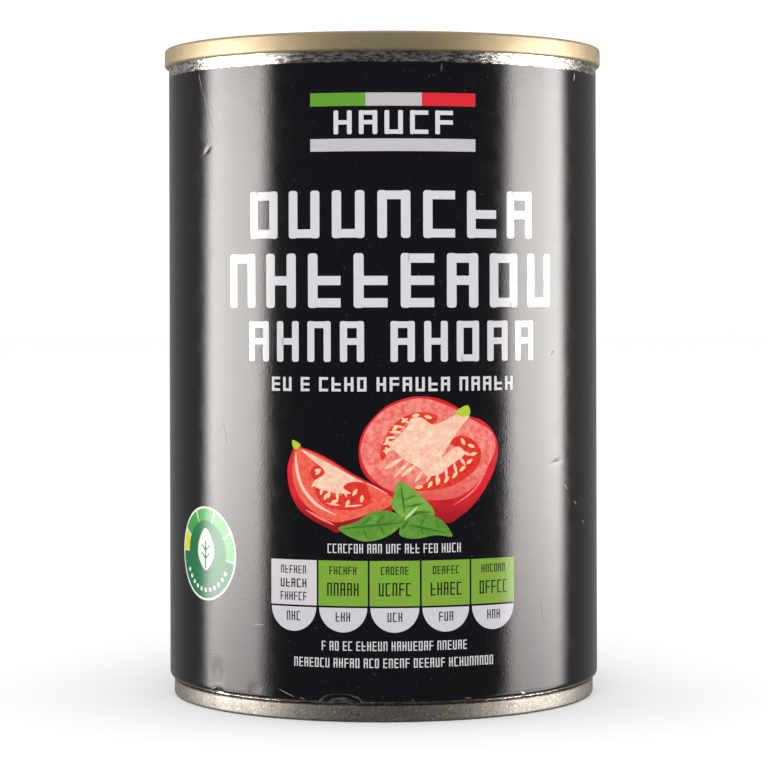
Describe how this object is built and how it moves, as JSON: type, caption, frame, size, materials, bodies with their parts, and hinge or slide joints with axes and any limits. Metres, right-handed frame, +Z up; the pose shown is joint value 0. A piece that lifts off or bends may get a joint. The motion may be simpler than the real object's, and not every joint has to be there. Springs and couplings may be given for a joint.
{
  "type": "food can",
  "caption": "Closed cylindrical food can of printed tinplate with a double-seamed easy-open top, a ring pull and a necked-in stacking foot.",
  "frame": {"origin": "centre of the foot, on the plane that the can stands on", "axes": "+Z up along the can's axis; the middle of the print faces -Y; +X is to the right of someone reading the print"},
  "size_m": [0.0748, 0.0748, 0.11],
  "materials": {
    "printed_tinplate": "glossy varnish over black and coloured inks",
    "gold_lacquered_tinplate": "clear gold lacquer over tinplate",
    "bare_tinplate": "clear lacquered tinplate, lightly scuffed",
    "tab_steel": "lacquered, satin"
  },
  "bodies": {
    "root": {"body": "printed_tinplate", "top_end": "gold_lacquered_tinplate", "bottom_end": "bare_tinplate", "ring_pull": "tab_steel"}
  },
  "joints": []
}
